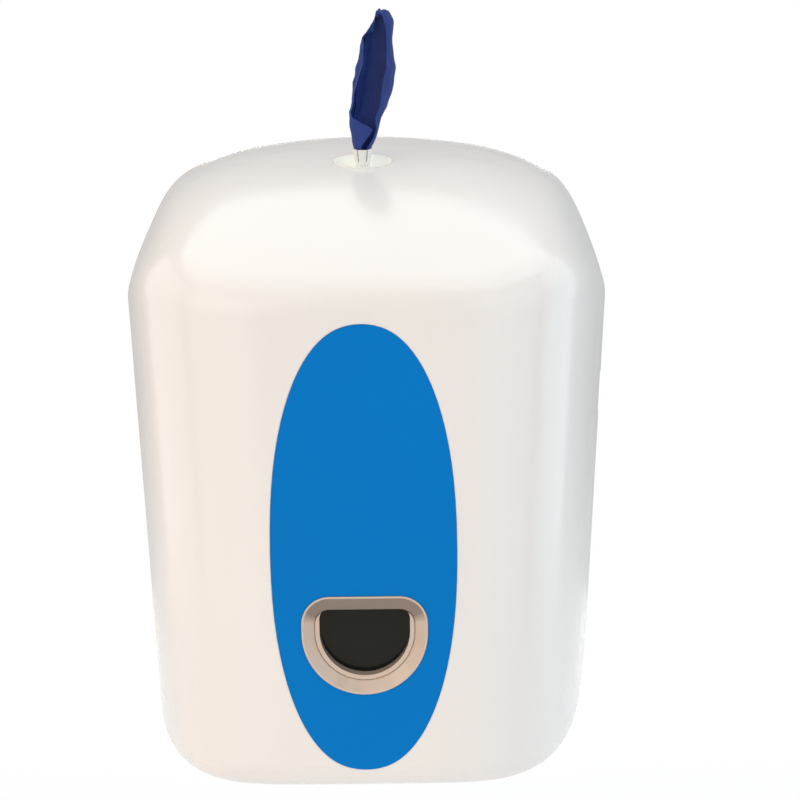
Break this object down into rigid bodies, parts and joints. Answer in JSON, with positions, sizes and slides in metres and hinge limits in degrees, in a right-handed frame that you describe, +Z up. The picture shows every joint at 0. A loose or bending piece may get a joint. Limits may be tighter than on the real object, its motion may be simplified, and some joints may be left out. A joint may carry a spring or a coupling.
{
  "type": "wall-mounted wipes dispenser",
  "caption": "Wall dispenser for a centre-feed roll of wet wipes: a hooded cover with a coloured front panel and window, swings down on a back plate with side release buttons",
  "frame": {"origin": "middle of the rectangle of wall holes, on the wall plane", "axes": "+Z up, +Y into the wall, so the front faces -Y, +X to the right seen from the front"},
  "size_m": [0.258, 0.2352, 0.3589],
  "materials": {
    "cover_plastic": "glossy moulded white",
    "white_plastic": "satin moulded white",
    "cream_plastic": "glossy moulded warm white",
    "ivory_plastic": "satin moulded ivory",
    "clear_plastic": "translucent soft moulded",
    "blue_plastic": "satin moulded blue",
    "smoked_pane": "smoked clear plastic pane",
    "steel": "zinc-plated steel",
    "wipe": "damp non-woven wipe, navy"
  },
  "bodies": {
    "back": {"back_plate": "white_plastic", "roll_shelf": "white_plastic", "shelf_screws": "steel", "wipe_roll": "wipe", "wipe_strip": "wipe", "hinge_pins": "steel", "button_keepers": "white_plastic", "keeper_screws": "steel"},
    "cover": {"cover_shell": "cover_plastic", "front_panel": "blue_plastic", "panel_washers": "steel", "window_surround": "cream_plastic", "window_frame": "cream_plastic", "window_pane": "smoked_pane", "window_retainer": "white_plastic", "window_screws": "steel", "nozzle_dish": "ivory_plastic", "nozzle": "clear_plastic", "nozzle_clamp": "white_plastic", "nozzle_screws": "steel", "wipe_tuft": "wipe"},
    "button_right": {"release_button_right": "white_plastic"},
    "button_left": {"release_button_left": "white_plastic"}
  },
  "joints": [
    {"name": "cover_swing", "type": "hinge", "parent": "back", "child": "cover", "pos_m": [0, -0.014, -0.156], "axis": [1, 0, 0], "range_deg": [0, 90], "deforming": ["wipe_strip"]},
    {"name": "right_button_press", "type": "slide", "parent": "back", "child": "button_right", "axis": [-1, 0, 0], "range_m": [0, 0.003], "stiffness_N_per_m": 1500, "springref_m": -0.002},
    {"name": "left_button_press", "type": "slide", "parent": "back", "child": "button_left", "axis": [1, 0, 0], "range_m": [0, 0.003], "stiffness_N_per_m": 1500, "springref_m": -0.002}
  ]
}
